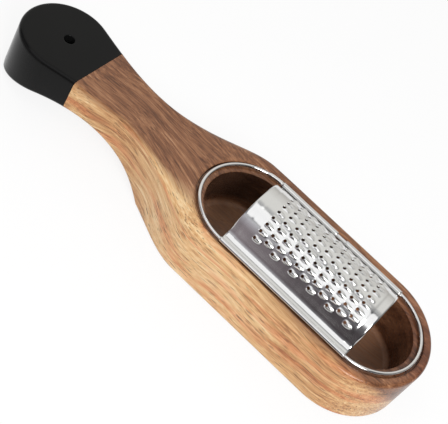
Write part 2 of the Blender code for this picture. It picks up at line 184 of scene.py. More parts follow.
# Brightness of the air by its turn about the object's length, in degrees: 0 is the level behind
# the object, 90 is overhead and 180 is the level in front. The camera sees a white backdrop.
AIR = (
    (0, (0.56, 0.54, 0.51)), (20, (0.78, 0.76, 0.73)), (45, (0.92, 0.91, 0.88)),
    (76, (0.92, 0.91, 0.88)), (82, (0.56, 0.56, 0.56)), (86, (0.56, 0.56, 0.56)),
    (92, (0.20, 0.20, 0.21)), (107, (0.12, 0.12, 0.14)), (128, (0.20, 0.20, 0.22)),
    (133, (0.50, 0.50, 0.52)), (141, (0.26, 0.25, 0.27)), (160, (0.14, 0.12, 0.13)),
    (180, (0.15, 0.13, 0.14)))
AIR_STRENGTH = 1.2
# The air falls off to the right, and in front of the object quickly so, which shades the sheet's
# near flank from light grey at its left end to nearly black. X is a direction's part along the
# object, from -1 to 1, and the front begins over a range given in half turns.
FALL_X = (0.10, 0.80)
FALL_SHARE = 0.25
FRONT_TURN = (0.735, 0.775)
FRONT_X = (-0.10, -0.03)
FRONT_LEVELS = (2.1, 0.55)
world = bpy.data.worlds.new("studio_air")
world.use_nodes = True
air = world.node_tree.nodes
link = world.node_tree.links.new
way = air.new("ShaderNodeSeparateXYZ")
link(air.new("ShaderNodeTexCoord").outputs["Generated"], way.inputs[0])
turn = air.new("ShaderNodeMath")
turn.operation = "ARCTAN2"
link(way.outputs["Z"], turn.inputs[0])
link(way.outputs["Y"], turn.inputs[1])


def stretched(value, span, onto):
    """Carry one range of values in the air's nodes onto another, held at its ends."""
    node = air.new("ShaderNodeMapRange")
    for socket, number in zip(("From Min", "From Max", "To Min", "To Max"), span + onto):
        node.inputs[socket].default_value = number
    link(value, node.inputs["Value"])
    return node.outputs[0]


half_turns = stretched(turn.outputs[0], (0.0, math.pi), (0.0, 1.0))
ramp = air.new("ShaderNodeValToRGB")
link(half_turns, ramp.inputs[0])
set_stops(ramp, [(degrees / 180.0, [c / AIR_STRENGTH for c in colour]) for degrees, colour in AIR])
link(ramp.outputs[0], air["Background"].inputs[0])
in_front = air.new("ShaderNodeMix")
link(stretched(half_turns, FRONT_TURN, (0.0, 1.0)), in_front.inputs[0])
in_front.inputs[2].default_value = 1.0
link(stretched(way.outputs["X"], FRONT_X, FRONT_LEVELS), in_front.inputs[3])
falling = stretched(way.outputs["X"], FALL_X, (AIR_STRENGTH, AIR_STRENGTH * FALL_SHARE))
strength = air.new("ShaderNodeMath")
strength.operation = "MULTIPLY"
link(falling, strength.inputs[0])
link(in_front.outputs[0], strength.inputs[1])
link(strength.outputs[0], air["Background"].inputs[1])
backdrop = air.new("ShaderNodeBackground")
backdrop.inputs[0].default_value = WHITE
shown = air.new("ShaderNodeMixShader")
link(air.new("ShaderNodeLightPath").outputs["Is Camera Ray"], shown.inputs[0])
link(air["Background"].outputs[0], shown.inputs[1])
link(backdrop.outputs[0], shown.inputs[2])
link(shown.outputs[0], air["World Output"].inputs[0])
bpy.context.scene.world = world


# Wooden body: container and arched handle carved from one block of acacia and oiled.
# The handle's end is turned down to a core for the black coat, and the container is routed out
# with a shallow rebate round its mouth that seats the wire loop.

TIP_X = -0.145
END_X = 0.145
TIP_RADIUS = 0.0268
TIP_ARC_END = math.radians(75.0)
WAIST_X = TIP_X + 0.0844
WAIST_HALF_WIDTH = 0.0168
SHOULDER_X = TIP_X + 0.1561
SHOULDER_SKEW = 1.2
HALF_WIDTH = 0.0391
BODY_DEPTH = 0.0358
ARCH_RISE = 0.0145
ARCH_SPAN = 0.1098
ARCH_X = TIP_X + 0.0062 + ARCH_SPAN / 2.0
ARCH_RADIUS = (ARCH_SPAN ** 2 / 4.0 + ARCH_RISE ** 2) / (2.0 * ARCH_RISE)
TOP_EDGE = 0.0025
BOTTOM_EDGE = 0.0030
NECK_EDGE_WIDTH = 0.0070
NECK_EDGE_DROP = 0.0035
NECK_EDGE_X = TIP_X + 0.1284
NECK_EDGE_REACH = 0.0185
SEAM_X = TIP_X + 0.0517
SEAM_HALF_GAP = 0.00006
LOOP_LOW_X = 0.0217
LOOP_HIGH_X = 0.1070
REBATE_RADIUS = 0.03295
LEDGE_Z = 0.03415
CAVITY_RADIUS = 0.0271
FLOOR_Z = 0.0061
REBATE_EDGE = 0.0005
MOUTH_EDGE = 0.0004
FLOOR_FILLET = 0.0030
EASE_BACK = 0.0003
LEDGE_CORNER = 0.0002
LEDGE_CORNER_BACK = 0.0005
SPLIT_X = -0.0180
ROUTED_SLACK = 0.0001
RIM_SLACK = 0.0004
LIP_SLACK = 0.0002
# The bare ledge takes this share of the routed mark, which sets both the cavity's painted shade and the
# heartwood boundary's push.
LEDGE_SHADE_AND_GRAIN_SHARE = 0.25
# Steps of the mesh along each stretch of the outline, and round each edge.
TIP_STEPS = 60
COAT_STEPS = 20
GRIP_STEPS = 30
SHOULDER_STEPS = 70
STRAIGHT_STEPS = 19
END_STEPS = 70
BOTTOM_EDGE_STEPS = 7
TOP_EDGE_STEPS = 10
SMALL_EDGE_STEPS = 4
FILLET_STEPS = 8
ACROSS = np.r_[0.0, 0.015, np.linspace(0.08, 0.92, 11), 0.985, 1.0]
RIM_SHARES = (0.0, 0.04, 0.35, 0.68, 1.0)
WELD_DISTANCE = 2e-6
LOST_EDGE = 1e-7


def ease(share):
    """Smoothstep: three times the square less twice the cube."""
    share = np.clip(share, 0.0, 1.0)
    return share * share * (3.0 - 2.0 * share)


def half_plan():
    """Half outline from tip to container end, its outward normals and the seam's station.

    Tip and container end are arcs. Between tip and waist y follows a cubic with the arc's slope at
    its start and none at its end; from waist to shoulder it follows a smoothstep of share ** skew.
    """
    angle = np.linspace(math.pi, TIP_ARC_END, TIP_STEPS + 1)
    tip = np.c_[TIP_X + TIP_RADIUS + TIP_RADIUS * np.cos(angle), TIP_RADIUS * np.sin(angle)]
    start_x, start_y = tip[-1]
    x = np.r_[np.linspace(start_x, SEAM_X, COAT_STEPS + 1)[1:],
              np.linspace(SEAM_X, WAIST_X, GRIP_STEPS + 1)[1:]]
    share = (x - start_x) / (WAIST_X - start_x)
    fall = (WAIST_X - start_x) / math.tan(TIP_ARC_END)
    handle = np.c_[x, (start_y + (WAIST_HALF_WIDTH - start_y) * ease(share)
                       - fall * share * (1 - share) ** 2)]
    share = np.linspace(0.0, 1.0, SHOULDER_STEPS + 1)[1:]
    shoulder = np.c_[WAIST_X + (SHOULDER_X - WAIST_X) * share,
                     WAIST_HALF_WIDTH + (HALF_WIDTH - WAIST_HALF_WIDTH) * ease(share ** SHOULDER_SKEW)]
    x = np.linspace(SHOULDER_X, END_X - HALF_WIDTH, STRAIGHT_STEPS + 1)[1:-1]
    straight = np.c_[x, np.full(len(x), HALF_WIDTH)]
    angle = np.linspace(math.pi / 2.0, 0.0, END_STEPS + 1)
    end = np.c_[END_X - HALF_WIDTH + HALF_WIDTH * np.cos(angle), HALF_WIDTH * np.sin(angle)]
    outline = np.concatenate([tip, handle, shoulder, straight, end])
    outline[[0, -1], 1] = 0.0
    run = np.r_[0.0, np.cumsum(np.hypot(*np.diff(outline, axis=0).T))]
    along = np.c_[np.gradient(outline[:, 0], run), np.gradient(outline[:, 1], run)]
    along[[0, -1]] = (0.0, 1.0), (0.0, -1.0)
    normal = np.c_[-along[:, 1], along[:, 0]]
    return outline, normal / np.linalg.norm(normal, axis=1)[:, None], len(tip) + COAT_STEPS - 1


def underside(x):
    """Height of the underside: a circular arch under the handle that meets the table at both ends."""
    reach = np.clip(x - ARCH_X, -ARCH_SPAN / 2.0, ARCH_SPAN / 2.0)
    return ARCH_RISE - ARCH_RADIUS + np.sqrt(ARCH_RADIUS ** 2 - reach ** 2)


def wall_rings(outline, normal):
    """Rings up the side wall, as an array of rings by stations by xyz.

    The bottom edge is a quarter circle and the top edge a quarter ellipse whose width and drop
    swell with a bell curve at the neck.
    """
    swell = np.exp(-((outline[:, 0] - NECK_EDGE_X) / NECK_EDGE_REACH) ** 2)
    width = TOP_EDGE + (NECK_EDGE_WIDTH - TOP_EDGE) * swell
    drop = TOP_EDGE + (NECK_EDGE_DROP - TOP_EDGE) * swell
    turn = np.linspace(0.0, math.pi / 2.0, BOTTOM_EDGE_STEPS + 1)[:, None]
    low_in = BOTTOM_EDGE * (1 - np.sin(turn)) + 0 * width
    low_up = BOTTOM_EDGE * (1 - np.cos(turn)) + 0 * width
    turn = np.linspace(math.pi / 2.0, 0.0, TOP_EDGE_STEPS + 1)[:, None]
    high_in = width * (1 - np.sin(turn))
    high_down = drop * (1 - np.cos(turn))
    place = outline[None] - normal[None] * np.r_[low_in, high_in][..., None]
    height = np.r_[underside(place[:len(low_up), :, 0]) + low_up, BODY_DEPTH - high_down]
    return np.concatenate([place, height[..., None]], axis=-1)


def straight_across(half):
    """Rows from each point of a ring's +Y half straight across to its mirror image."""
    share = ACROSS[:, None, None]
    return half[None] * (1 - share) + (half * (1.0, -1.0, 1.0))[None] * share


def closed_rings(half):
    """Mirror rings that run from a station to the far end, and close them with that station's row."""
    mirrored = half[:, -2::-1] * (1.0, -1.0, 1.0)
    share = ACROSS[-2:0:-1][None, :, None]
    across = half[:, :1] * (1 - share) + mirrored[:, -1:] * share
    return np.concatenate([half, mirrored, across], axis=1)


def grid_faces(rows, columns, closed_columns, closed_rows, start):
    """Four-cornered faces between neighbours of a grid whose vertices are numbered row by row."""
    row = np.arange(rows if closed_rows else rows - 1)[:, None]
    column = np.arange(columns if closed_columns else columns - 1)[None]
    after_row = (row + 1) % rows
    after_column = (column + 1) % columns
    corners = (row * columns + column, row * columns + after_column,
               after_row * columns + after_column, after_row * columns + column)
    return start + np.stack([c + 0 * (row + column) for c in corners], -1).reshape(-1, 4)


def skin(name, grids, crisp=40.0):
    """Make one closed mesh of grids of points, welded where they meet, with faces outwards."""
    points = []
    faces = []
    total = 0
    for grid, closed_columns, closed_rows in grids:
        faces.append(grid_faces(*grid.shape[:2], closed_columns, closed_rows, total))
        points.append(grid.reshape(-1, 3))
        total += len(points[-1])
    mesh = bpy.data.meshes.new(name)
    mesh.from_pydata(np.concatenate(points).tolist(), [], np.concatenate(faces).tolist())
    bm = bmesh.new()
    bm.from_mesh(mesh)
    bmesh.ops.remove_doubles(bm, verts=bm.verts, dist=WELD_DISTANCE)
    bmesh.ops.dissolve_degenerate(bm, edges=bm.edges, dist=LOST_EDGE)
    bmesh.ops.recalc_face_normals(bm, faces=bm.faces)
    bm.to_mesh(mesh)
    bm.free()
    mesh.shade_smooth()
    mesh.set_sharp_from_angle(angle=math.radians(crisp))
    made = bpy.data.objects.new(name, mesh)
    bpy.context.scene.collection.objects.link(made)
    return made


def between(first, last, shares):
    """Rings spread from one ring to another by the given shares."""
    share = np.asarray(shares)[:, None, None]
    return first[None] * (1 - share) + last[None] * share


def rounding(radius, level, size):
    """Radius and height of each step of a quarter circle from a level face into an upright wall."""
    return [(radius + size * (1 - math.sin(a)), level - size * (1 - math.cos(a)))
            for a in np.linspace(0.0, math.pi / 2.0, SMALL_EDGE_STEPS + 1)]


outline, normal, seam = half_plan()


def wooden_body():
    """Rings up the wall, over the top face, into the rebate and down the container to its floor.

    The handle's top is laid in rows straight across; round the container the top face is rings
    from the outline in to the rebate, closed by the row where the handle's part ends.
    """
    half = wall_rings(outline[seam:], normal[seam:])
    half[:, 0, 0] = SEAM_X + SEAM_HALF_GAP
    top = half[-1]
    split = int(np.argmin(np.abs(top[:, 0] - SPLIT_X)))
    handle_top = straight_across(top[:split + 1])
    base = straight_across(half[0])
    edge = closed_rings(top[None, split:])[0]
    count = len(top) - split
    columns = len(edge)
    run = np.r_[0.0, np.cumsum(np.hypot(*np.diff(edge[:count, :2], axis=0).T))]
    x = edge[:count, 0]
    at_low = np.interp(LOOP_LOW_X, x, run)
    back = np.clip((at_low - run) / (at_low + edge[0, 1]), 0.0, 1.0)
    turn = np.where(x > LOOP_HIGH_X, np.arctan2(edge[:count, 1], x - LOOP_HIGH_X),
                    math.pi / 2.0 * (1 + back))
    middle = np.clip(x, LOOP_LOW_X, LOOP_HIGH_X)
    share = ACROSS[-2:0:-1]
    turn = np.r_[turn, -turn[-2::-1], math.pi + (math.pi - turn[0]) * (2 * share - 1)]
    middle = np.r_[middle, middle[-2::-1], np.full(len(share), LOOP_LOW_X)]

    def mouth(radius, z):
        return np.c_[middle + radius * np.cos(turn), radius * np.sin(turn), np.full(columns, z)]

    rebate = rounding(REBATE_RADIUS, BODY_DEPTH, REBATE_EDGE)
    ledge = [(REBATE_RADIUS, LEDGE_Z + LEDGE_CORNER), (REBATE_RADIUS - LEDGE_CORNER, LEDGE_Z),
             (REBATE_RADIUS - LEDGE_CORNER_BACK, LEDGE_Z),
             (CAVITY_RADIUS + MOUTH_EDGE + EASE_BACK, LEDGE_Z)]
    lip = rounding(CAVITY_RADIUS, LEDGE_Z, MOUTH_EDGE)
    wall = [(CAVITY_RADIUS, LEDGE_Z - MOUTH_EDGE - EASE_BACK),
            (CAVITY_RADIUS, FLOOR_Z + FLOOR_FILLET + EASE_BACK)]
    foot = [(CAVITY_RADIUS - FLOOR_FILLET * (1 - math.cos(a)),
             FLOOR_Z + FLOOR_FILLET * (1 - math.sin(a)))
            for a in np.linspace(0.0, math.pi / 2.0, FILLET_STEPS + 1)]
    last = [(CAVITY_RADIUS - FLOOR_FILLET - EASE_BACK, FLOOR_Z)]
    rim = mouth(REBATE_RADIUS + REBATE_EDGE + EASE_BACK, BODY_DEPTH)
    face = between(edge, rim, RIM_SHARES)
    profile = rebate[::-1] + ledge + lip[::-1] + wall + foot + last
    shell = np.concatenate([face, np.array([mouth(radius, z) for radius, z in profile])])
    half_way = (len(ACROSS) - 1) // 2
    near = np.r_[np.arange(columns - half_way, columns), np.arange(count)]
    far = np.r_[np.arange(columns - half_way, 2 * count - 2, -1),
                np.arange(2 * count - 2, count - 2, -1)]
    floor_grid = between(shell[-1][near], shell[-1][far], ACROSS)
    made = skin("acacia_body", [(closed_rings(half), True, False), (handle_top, False, False),
                                (base, False, False), (shell, True, False), (floor_grid, False, False)])
    place = np.empty(len(made.data.vertices) * 3)
    made.data.vertices.foreach_get("co", place)
    x, y, z = place.reshape(-1, 3).T
    reach = np.hypot(x - np.clip(x, LOOP_LOW_X, LOOP_HIGH_X), y)
    routed = (reach < REBATE_RADIUS + ROUTED_SLACK) & (z > FLOOR_Z - ROUTED_SLACK)
    routed &= z < BODY_DEPTH - RIM_SLACK
    bare = routed & (reach < REBATE_RADIUS - RIM_SLACK) & (reach > CAVITY_RADIUS)
    bare &= z > LEDGE_Z - LIP_SLACK
    # The routed mark carries the painted shade of the cavity and also pushes the heartwood boundary.
    layer = made.data.attributes.new("routed", "FLOAT", "POINT")
    layer.data.foreach_set("value", (routed * np.where(bare, LEDGE_SHADE_AND_GRAIN_SHARE, 1.0)).astype(np.float32))
    return made


body = wooden_body()
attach(body, "container_body")
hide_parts("wooden_body")


# Colours of heartwood and sapwood from the darkest grain to the palest, then those mixed over them.
HEART = ((0.0, (0.055, 0.021, 0.009)), (0.30, (0.145, 0.057, 0.026)), (0.50, (0.225, 0.094, 0.043)),
         (0.75, (0.330, 0.154, 0.074)), (1.0, (0.450, 0.240, 0.128)))
SAP = ((0.0, (0.200, 0.080, 0.028)), (0.25, (0.415, 0.192, 0.076)), (0.50, (0.590, 0.325, 0.138)),
       (0.75, (0.725, 0.460, 0.222)), (1.0, (0.820, 0.605, 0.345)))
RED_TINT = (0.93, 0.66, 0.60, 1.0)
# Painted shade: the heartwood over the container's round end is multiplied by this darker tint.
FAR_END_PAINTED_SHADE = (0.62, 0.50, 0.50, 1.0)
PORE_COLOUR = (0.085, 0.034, 0.016, 1.0)
FLOOR_WOOD = (0.500, 0.290, 0.180, 1.0)
# Painted shade: the cavity's walls, rebate and ledge are darkened towards this colour, more higher up
# and most at the handle's end.
CAVITY_PAINTED_SHADE = (0.022, 0.011, 0.008, 1.0)
# Each pattern's waves per metre along, across and up the wood.
DRIFT_WAVES = (9.0, 26.0, 26.0)
SWAY_WAVES = (13.0, 16.0, 16.0)
LAYER_WAVES = (9.0, 60.0, 230.0)
BAND_WAVES = (11.0, 190.0, 150.0)
STREAK_WAVES = (34.0, 860.0, 860.0)
FINE_WAVES = (110.0, 2600.0, 2600.0)
RED_WAVES = (13.0, 45.0, 130.0)
PORE_WAVES = (75.0, 1500.0, 1500.0)
LAYER_TILT = (0.12, 0.02, 0.01)
BAND_SHIFT = (3.1, 0.7, 0.2)
RED_SHIFT = (0.4, 1.3, 2.2)
PORE_SHIFT = (7.0, 1.0, 4.0)
# How far the grain wanders, and how much of the neck's widening it follows, over these widths.
SWAY_REACH = (0.0, 0.016, 0.026)
FOLLOWED_SHARE = 0.85
FOLLOWED_Y = (0.010, -0.026)
# Share of each pattern in the tone, and the range of the sum.
LAYER_SHARE = 0.50
BAND_SHARE = 0.50
FINE_SHARE = 0.45
TONE_RANGE = (0.96, 1.49)
# The heartwood's boundary: its place and slopes, and how far each pattern pushes it about.
BOUNDARY_X = 0.060
BOUNDARY_RUN = 0.142
BOUNDARY_SLOPE = 0.13
BOUNDARY_Y = 0.0165
BOUNDARY_FALL = 1.3
DRIFT_PUSH = 0.020
BAND_PUSH = 0.016
STREAK_PUSH = 0.009
ROUTED_PUSH = 0.06
BOUNDARY_BLEND = (-0.0052, 0.0024)
# Ranges of a pattern or a place, each followed by what they are carried onto.
RED_BANDS = (0.49, 0.60, 0.0, 0.85)
NECK_PALER = (-0.070, -0.030, 0.0, 0.23)
SIDE_PALER = (0.030, 0.085, 0.23, 0.05)
# Where the painted shade over the round end lies, along the length and across it.
FAR_END_SHADE_X = (0.095, 0.140)
FAR_END_SHADE_Y = (-0.026, -0.004)
PORES = (0.60, 0.71, 0.0, 0.70)
FLOOR_FADE = (0.0075, 0.0095, 0.36, 0.0)
# Painted shade in the cavity: its share by height, then a factor that grows towards the handle's end.
CAVITY_SHADE_BY_HEIGHT = (0.0070, 0.0140, 0.10, 0.42)
CAVITY_SHADE_BY_X = (0.040, 0.006, 1.0, 2.1)
OIL_GLOSS = (0.3, 0.7, 0.36, 0.20)
WOOD_SPECULAR = 0.35
PORE_DEPTH = 0.6
GRAIN_RELIEF = 0.00006
GRAIN_STRENGTH = 0.4


def acacia():
    """Oiled acacia: reddish heartwood over pale sapwood, fine streaks and open pores along the grain.

    The boundary falls towards the near side, so the near wall is pale and the top is brown. Growth
    layers lie nearly level, so the sides show lines and the round end shows curved bands. On the
    near side the grain bends outwards with the neck.
    """
    wood = Finish("oiled_acacia")
    axis = wood.add("ShaderNodeSeparateXYZ", Vector=wood.place()).outputs
    drift = wood.noise(wood.place(DRIFT_WAVES), detail=3.0)
    sway = wood.add("ShaderNodeTexNoise", Vector=wood.place(SWAY_WAVES), Scale=1.0, Detail=1.0)
    widening = wood.add("ShaderNodeMapRange", {"interpolation_type": "SMOOTHSTEP"}, Value=axis["X"],
                        From_Min=WAIST_X, From_Max=SHOULDER_X, To_Min=0.0,
                        To_Max=FOLLOWED_SHARE * (HALF_WIDTH - WAIST_HALF_WIDTH)).outputs[0]
    follow = wood.sum("MULTIPLY", widening, wood.spread(axis["Y"], *FOLLOWED_Y))
    followed = wood.add("ShaderNodeCombineXYZ", X=axis["X"], Y=wood.sum("ADD", axis["Y"], follow),
                        Z=axis["Z"])
    sway = wood.add("ShaderNodeVectorMath", {"operation": "MULTIPLY_ADD"}, _0=sway.outputs["Color"],
                    _1=SWAY_REACH, _2=followed.outputs[0]).outputs[0]
    layers = wood.noise(wood.place(LAYER_WAVES, turn=LAYER_TILT, where=sway), detail=4.0, rough=0.55,
                        twist=0.6)
    bands = wood.noise(wood.place(BAND_WAVES, shift=BAND_SHIFT, where=sway), detail=3.0, rough=0.55,
                       twist=0.4)
    streak = wood.noise(wood.place(STREAK_WAVES, where=sway), detail=4.0, rough=0.75)
    fine = wood.noise(wood.place(FINE_WAVES, where=sway), detail=2.0)
    tone = wood.sum("MULTIPLY_ADD", bands, BAND_SHARE, streak)
    tone = wood.sum("MULTIPLY_ADD", layers, LAYER_SHARE, tone)
    tone = wood.sum("MULTIPLY_ADD", fine, FINE_SHARE, tone)
    tone = wood.spread(tone, *TONE_RANGE)

    def colours(tone, stops):
        ramp = wood.add("ShaderNodeValToRGB", Fac=tone)
        set_stops(ramp, stops)
        return ramp.outputs[0]

    from_waist = wood.sum("ABSOLUTE", wood.sum("ADD", axis["X"], BOUNDARY_X))
    from_waist = wood.sum("MINIMUM", from_waist, BOUNDARY_RUN)
    line = wood.sum("ADD", axis["Y"], BOUNDARY_Y)
    line = wood.sum("MULTIPLY_ADD", from_waist, BOUNDARY_SLOPE, line)
    below = wood.sum("SUBTRACT", axis["Z"], BODY_DEPTH)
    line = wood.sum("MULTIPLY_ADD", below, BOUNDARY_FALL, line)
    for pattern, push in ((drift, DRIFT_PUSH), (bands, BAND_PUSH), (streak, STREAK_PUSH)):
        line = wood.sum("MULTIPLY_ADD", wood.sum("SUBTRACT", pattern, 0.5), push, line)
    routed = wood.add("ShaderNodeAttribute", {"attribute_name": "routed"}).outputs["Fac"]
    line = wood.sum("MULTIPLY_ADD", routed, ROUTED_PUSH, line)
    heart = wood.spread(line, *BOUNDARY_BLEND)
    red = wood.noise(wood.place(RED_WAVES, shift=RED_SHIFT, where=sway), detail=3.0, twist=0.8)
    paler = wood.sum("MINIMUM", wood.spread(axis["X"], *NECK_PALER),
                     wood.spread(axis["X"], *SIDE_PALER))
    pale = wood.mix(wood.spread(red, *RED_BANDS), colours(wood.sum("ADD", tone, paler), SAP),
                    RED_TINT, "MULTIPLY")
    # Painted shade over the container's round end, away from the near wall.
    far_end_shade = wood.sum("MULTIPLY", wood.spread(axis["X"], *FAR_END_SHADE_X),
                       wood.spread(axis["Y"], *FAR_END_SHADE_Y))
    dark = wood.mix(far_end_shade, colours(tone, HEART), FAR_END_PAINTED_SHADE, "MULTIPLY")
    grain = wood.mix(heart, pale, dark)
    pores = wood.noise(wood.place(PORE_WAVES, shift=PORE_SHIFT, where=sway), detail=1.0)
    pores = wood.spread(pores, *PORES)
    grain = wood.mix(pores, grain, PORE_COLOUR)
    floor = wood.sum("MULTIPLY", routed, wood.spread(axis["Z"], *FLOOR_FADE))
    grain = wood.mix(floor, grain, FLOOR_WOOD)
    # Painted shade: the routed walls, rebate and ledge are darkened, most at the handle's end of the
    # cavity.
    painted_cavity_shade = wood.sum("MULTIPLY", routed, wood.spread(axis["Z"], *CAVITY_SHADE_BY_HEIGHT))
    painted_cavity_shade = wood.sum("MULTIPLY", painted_cavity_shade, wood.spread(axis["X"], *CAVITY_SHADE_BY_X))
    grain = wood.mix(painted_cavity_shade, grain, CAVITY_PAINTED_SHADE)
    wood.set(wood.shader, "Base_Color", grain)
    wood.shader.inputs["Specular IOR Level"].default_value = WOOD_SPECULAR
    wood.set(wood.shader, "Roughness", wood.spread(streak, *OIL_GLOSS))
    relief = wood.sum("SUBTRACT", streak, wood.sum("MULTIPLY", pores, PORE_DEPTH))
    wood.set(wood.shader, "Normal", wood.bump(relief, GRAIN_RELIEF, GRAIN_STRENGTH))
    return wood.material


body.data.materials.append(acacia())


# Black end: the handle's end dipped in satin black, with the hanging hole drilled through it.
# The coat is flush with the wood at a crisp seam.

HOLE_X = TIP_X + 0.0284
HOLE_RADIUS = 0.0031
HOLE_EDGE = 0.0005
TOP_SHARES = (0.03, 0.35, 0.68, 1.0)
UNDER_SHARES = np.r_[np.linspace(0.0, 0.92, 17), 0.98]


def black_end():
    """Rings up the wall, over the top face to the hole, down the hole and back out underneath."""
    half = wall_rings(outline[seam::-1], normal[seam::-1])
    half[:, 0, 0] = SEAM_X - SEAM_HALF_GAP
    rings = closed_rings(half)
    top = rings[-1]
    aim = top[:, :2] - (HOLE_X, 0.0)
    aim /= np.linalg.norm(aim, axis=1)[:, None]

    def hole(radius, z):
        return np.c_[HOLE_X + radius * aim[:, 0], radius * aim[:, 1], np.full(len(aim), z)]

    upper = [hole(radius, z) for radius, z in rounding(HOLE_RADIUS, BODY_DEPTH, HOLE_EDGE)]
    lower = []
    for radius, drop in rounding(HOLE_RADIUS, 0.0, HOLE_EDGE)[::-1]:
        ring = hole(radius, 0.0)
        ring[:, 2] = underside(ring[:, 0]) - drop
        lower.append(ring)
    brim = hole(HOLE_RADIUS + HOLE_EDGE + EASE_BACK, BODY_DEPTH)
    face = between(top, brim, TOP_SHARES)
    under = between(brim, rings[0], UNDER_SHARES)
    under[..., 2] = underside(under[..., 0])
    shell = np.concatenate([rings, face, upper, lower, under])
    return skin("black_dipped_end", [(shell, True, True)])


coat = black_end()
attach(coat, "container_body")
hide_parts("black_end")


BLACK_DEEP = (0.0052, 0.0052, 0.0051, 1.0)
BLACK_WORN = (0.0074, 0.0074, 0.0073, 1.0)
BLACK_SPECULAR = 0.11
BLACK_GLOSS = (0.3, 0.7, 0.12, 0.18)
PEEL_WAVES = (900.0, 900.0, 900.0)
PEEL_DEPTH = 0.00002
PEEL_STRENGTH = 0.3
MARK_WAVES = (45.0, 60.0, 60.0)


def black_dip():
    """Satin black coat with a slight orange peel and faint handling marks."""
    dip = Finish("black_dip")
    peel = dip.noise(dip.place(PEEL_WAVES), detail=2.0)
    marks = dip.noise(dip.place(MARK_WAVES), detail=4.0, rough=0.6)
    dip.set(dip.shader, "Base_Color", dip.mix(marks, BLACK_DEEP, BLACK_WORN))
    dip.shader.inputs["Specular IOR Level"].default_value = BLACK_SPECULAR
    dip.set(dip.shader, "Roughness", dip.spread(marks, *BLACK_GLOSS))
    dip.set(dip.shader, "Normal", dip.bump(peel, PEEL_DEPTH, PEEL_STRENGTH))
    return dip.material


coat.data.materials.append(black_dip())


# Wire loop: round stainless wire, 2 mm thick, bent to two straight sides and two round ends.
# Its ends meet in a short sleeve on the far side, beside the sheet's corner.

WIRE_RADIUS = 0.0010
SLEEVE_RADIUS = 0.0013
SLEEVE_REACH = (-0.0095, -0.0003)
SLEEVE_RAMP = 0.0004
LOOP_RADIUS = 0.0307
WIRE_Z = 0.0361
LOOP_END_STEPS = 90
LOOP_SIDE_STEPS = 40
WIRE_ROUND_STEPS = 20


def wire_loop():
    """Circle carried along the loop: its radius grows by a steep smoothstep over the sleeve."""
    angle = np.linspace(-math.pi / 2.0, math.pi / 2.0, LOOP_END_STEPS + 1)
    straight = np.linspace(0.0, 1.0, LOOP_SIDE_STEPS + 1)[1:-1]
    end = np.c_[LOOP_HIGH_X + LOOP_RADIUS * np.cos(angle), LOOP_RADIUS * np.sin(angle)]
    far = np.c_[LOOP_HIGH_X + (LOOP_LOW_X - LOOP_HIGH_X) * straight,
                np.full(len(straight), LOOP_RADIUS)]
    other = np.c_[LOOP_LOW_X - LOOP_RADIUS * np.cos(angle), -LOOP_RADIUS * np.sin(angle)]
    near = np.c_[far[::-1, 0], -far[:, 1]]
    line = np.concatenate([end, far, other, near])
    along = np.roll(line, -1, axis=0) - np.roll(line, 1, axis=0)
    along /= np.linalg.norm(along, axis=1)[:, None]
    out = np.c_[along[:, 1], -along[:, 0]]
    from_corner = line[:, 0] - LOOP_LOW_X
    inside = (ease((from_corner - SLEEVE_REACH[0]) / SLEEVE_RAMP)
              * ease((SLEEVE_REACH[1] - from_corner) / SLEEVE_RAMP))
    radius = WIRE_RADIUS + (SLEEVE_RADIUS - WIRE_RADIUS) * inside * (line[:, 1] > 0)
    round_wire = np.linspace(0.0, 2 * math.pi, WIRE_ROUND_STEPS + 1)[:-1]
    side = radius[:, None] * np.cos(round_wire)
    height = radius[:, None] * np.sin(round_wire)
    points = line[:, None] + out[:, None] * side[..., None]
    tube = np.concatenate([points, WIRE_Z + height[..., None]], axis=-1)
    return skin("wire_loop", [(tube, True, True)])


wire = wire_loop()
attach(wire, "grater_insert")
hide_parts("wire_frame")


SMUDGE_WAVES = (70.0, 70.0, 70.0)
SMUDGED_SHARE = 0.94
SMUDGE_RANGE = (0.3, 0.7)
SMOOTHER = 0.8
ROUGHER = 1.3
LINE_DEPTH = 0.00002
LINE_STRENGTH = 0.25
WIRE_COLOUR = (0.76, 0.75, 0.74)
WIRE_ROUGHNESS = 0.16
WIRE_LINES = (40.0, 1500.0, 1500.0)


def bright_steel(name, colour, roughness, waves):
    """Bright stainless: faint lines left by drawing or rolling, and smudges."""
    steel = Finish(name)
    lines = steel.noise(steel.place(waves), detail=2.0)
    smudge = steel.noise(steel.place(SMUDGE_WAVES), detail=3.0, rough=0.6)
    smudged = tuple(SMUDGED_SHARE * c for c in colour)
    steel.set(steel.shader, "Base_Color", steel.mix(smudge, smudged + (1.0,), colour + (1.0,)))
    steel.set(steel.shader, "Metallic", 1.0)
    steel.set(steel.shader, "Roughness", steel.spread(smudge, *SMUDGE_RANGE, roughness * SMOOTHER,
                                                      roughness * ROUGHER))
    steel.set(steel.shader, "Normal", steel.bump(lines, LINE_DEPTH, LINE_STRENGTH))
    return steel.material


wire.data.materials.append(bright_steel("drawn_wire", WIRE_COLOUR, WIRE_ROUGHNESS, WIRE_LINES))


# Grater sheet: thin stainless sheet punched with rows of teeth and bent to an arch.
# Its long edges roll round the wire, and a shallow step lets the toothed panel stand proud of
# the plain strips at its two ends.

